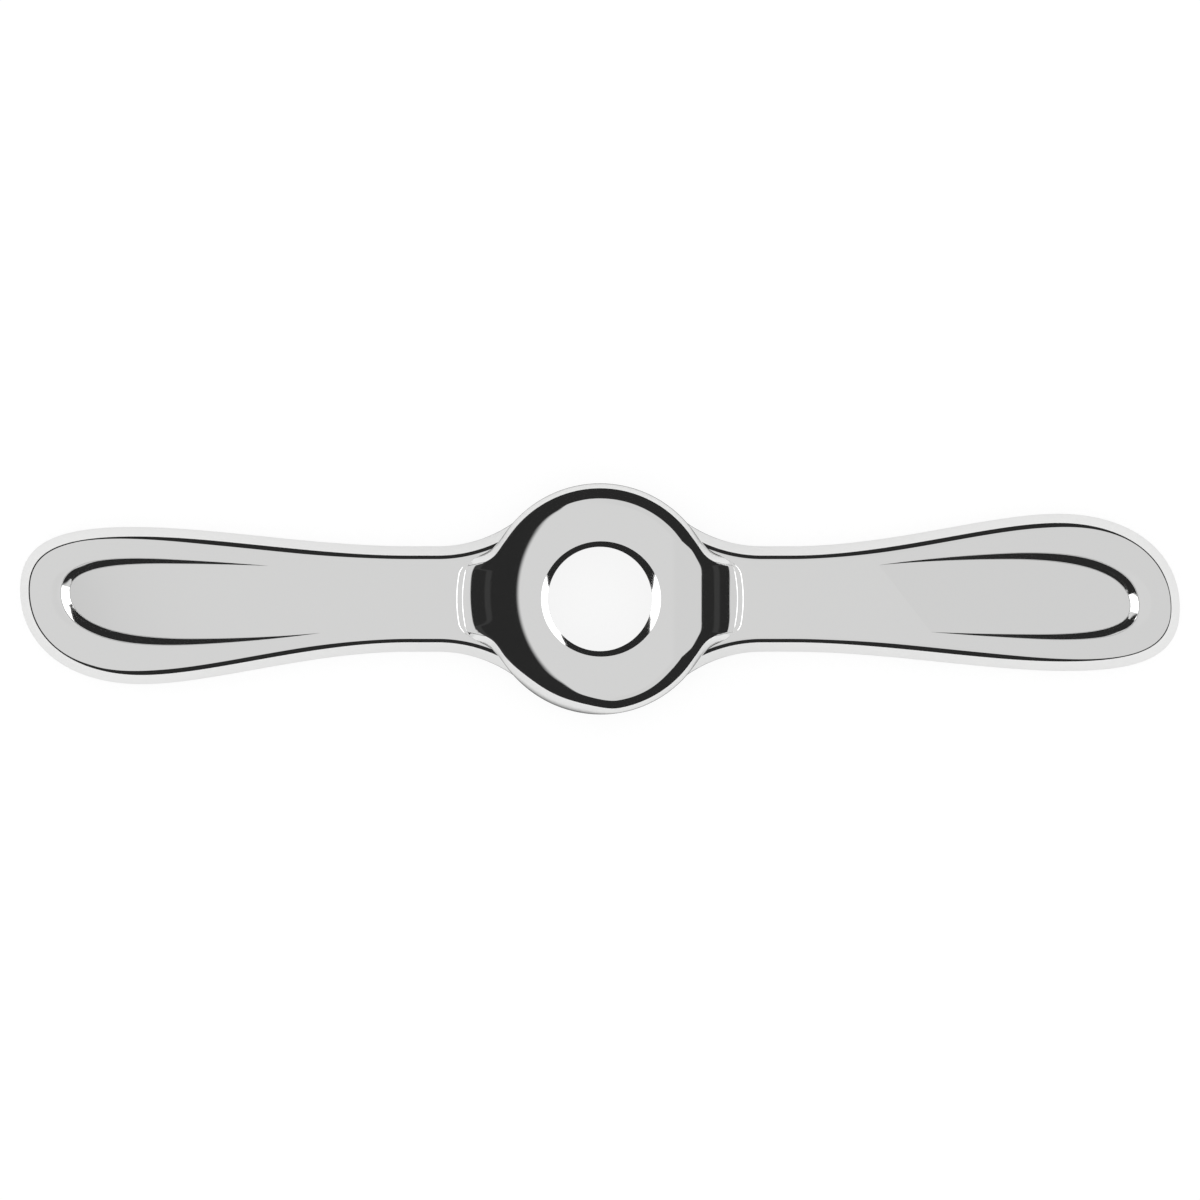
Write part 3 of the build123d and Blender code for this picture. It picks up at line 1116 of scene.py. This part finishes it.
def pale_floor():
    """White card. It glows a little for the camera, so that it shows white, and a diffuse
    part keeps the object's shadow. Mirror reflections see the card with a painted shadow,
    dark close round the hub's foot, and a little darker to both sides of the arms."""
    made, nodes = material("pale_floor")
    by_camera = nodes.add("ShaderNodeLightPath", output="Is Camera Ray")
    place = nodes.add("ShaderNodeTexCoord", output="Object")
    away = nodes.add("ShaderNodeVectorMath", {"operation": "LENGTH"}, {0: place}, output=1)
    beside = nodes.add("ShaderNodeSeparateXYZ", None, {0: place}, output="Y").math("ABSOLUTE")
    # Painted shadow: the card is dark close round the hub, where the hub's contact shadow falls, as
    # mirror reflections see it
    tone = painted_shadow_tone + away.step(*painted_shadow_span) * painted_shadow_lift
    tone = tone - beside.step(*card_side_span) * card_side_loss
    card = nodes.add("ShaderNodeBsdfDiffuse", None, {"Color": tone})
    shade = nodes.add("ShaderNodeBsdfDiffuse", None, {"Color": (0.16, 0.16, 0.16, 1.0)})
    glow = nodes.add("ShaderNodeEmission", None, {"Strength": 0.87})
    bright = nodes.add("ShaderNodeAddShader", None, {0: shade, 1: glow})
    both = nodes.add("ShaderNodeMixShader", None, {0: by_camera, 1: card, 2: bright})
    nodes.add("ShaderNodeOutputMaterial", None, {"Surface": both})
    return made


floor_mesh.materials.append(pale_floor())

# What mirror reflections see over the table, in degrees down from straight up
flag_top, flag_bottom = 17.0, 56.0
left_flag_higher, ahead_flag_lower = 8.5, 11.0
left_flag_softer = 3.5
low_flag_top, low_flag_bottom, low_flag_shorter = 79.5, 92.0, 7.4
lamp_top, lamp_middle, lamp_bottom = 81.4, 82.5, 84.5
lamp_taper = 0.07
stripe_at, stripe_higher, stripe_aside = 52.0, 10.9, 2.1

# Tones of those things
room_tone, right_room_darker = 0.70, 0.025
lamp_tone = 1.6
flag_tone, stripe_tone = 0.022, 0.02


def studio_world():
    """Soft light from all round. Mirror reflections see the room over the table: a pale
    ceiling straight up, a ring of black flags round it with a faint stripe in it, a pale
    band, a second ring of flags with two lamps and two pale gaps under them, and pale walls
    down to the table. The ceiling is a little darker to the right."""
    world = bpy.data.worlds.new("studio")
    world.use_nodes = True
    bpy.context.scene.world = world
    nodes = Nodes(world.node_tree)
    way = nodes.add("ShaderNodeTexCoord", output="Generated")
    x, y, z = [nodes.add("ShaderNodeSeparateXYZ", None, {0: way}, output=axis) for axis in "XYZ"]
    down = z.math("ARCCOSINE") * (180 / math.pi)
    plan = (x * x + y * y + 1e-8).math("SQRT")
    right, back = x / plan, y / plan

    def facing(azimuth):
        """Cosine of the angle in plan from an azimuth in degrees, 0 to the right. A thing's
        width in plan is given by the cosines at which it starts and ends."""
        azimuth = math.radians(azimuth)
        return right * math.cos(azimuth) + back * math.sin(azimuth)

    left, ahead = (right * -1).step(0.35, 0.6), right.step(0.93, 0.985)
    start = flag_top - left * left_flag_higher + ahead * ahead_flag_lower
    flag = down.step(start, start + 1 + left * left_flag_softer)
    flag = flag * (1 - down.past(flag_bottom, 0.5))
    gap = facing(-10).math("ABSOLUTE").past(0.82, 0.02)
    low_flag_end = down.past(low_flag_bottom - gap * low_flag_shorter, 0.5)
    flag = flag + down.past(low_flag_top, 0.3) * (1 - low_flag_end)

    taper = (down - lamp_middle) * lamp_taper
    lamp = (facing(15) - taper).past(0.82, 0.01) + (facing(175) - taper).past(0.91, 0.01)
    lamp = lamp * down.past(lamp_top, 0.2) * (1 - down.past(lamp_bottom, 0.1))
    low_lamp = facing(5).past(0.94, 0.01) + facing(183).past(0.94, 0.01)
    lamp = lamp + low_lamp * down.past(lamp_bottom, 0.1)
    flag = flag * (1 - lamp)

    aside = right.math("ABSOLUTE")
    rise = aside.step(0.97, 0.985) * (stripe_higher - right * stripe_aside)
    stripe = 1 - (down - (stripe_at - rise)).math("ABSOLUTE").step(1.5, 4.0)
    stripe = stripe * aside.step(0.2, 0.5)
    dimmer = right.step(-0.3, 0.3) * down.step(0.5, 6.0)
    room = room_tone - dimmer * right_room_darker + lamp * lamp_tone
    seen = room + flag * (flag_tone + stripe * stripe_tone - room)
    glossy = nodes.add("ShaderNodeLightPath", output="Is Glossy Ray")
    sockets = {"Color": (1.0, 1.0, 1.0, 1.0), "Strength": 1 + glossy * (seen - 1)}
    light = nodes.add("ShaderNodeBackground", None, sockets)
    nodes.add("ShaderNodeOutputWorld", None, {"Surface": light})


studio_world()

# Camera straight above, in metres, a little towards -Y from the bore's axis
camera_height = 1.5
frame_width = 0.23648
view_drop = 0.0002
camera_data = bpy.data.cameras.new("camera")
camera_data.sensor_width = 36.0
camera_data.lens = camera_data.sensor_width * (camera_height - arm_middle * 0.001) / frame_width
camera = bpy.data.objects.new("camera", camera_data)
camera.location = (0.0, -view_drop, camera_height)
bpy.context.scene.collection.objects.link(camera)
bpy.context.scene.camera = camera
bpy.context.scene.view_settings.view_transform = "Standard"
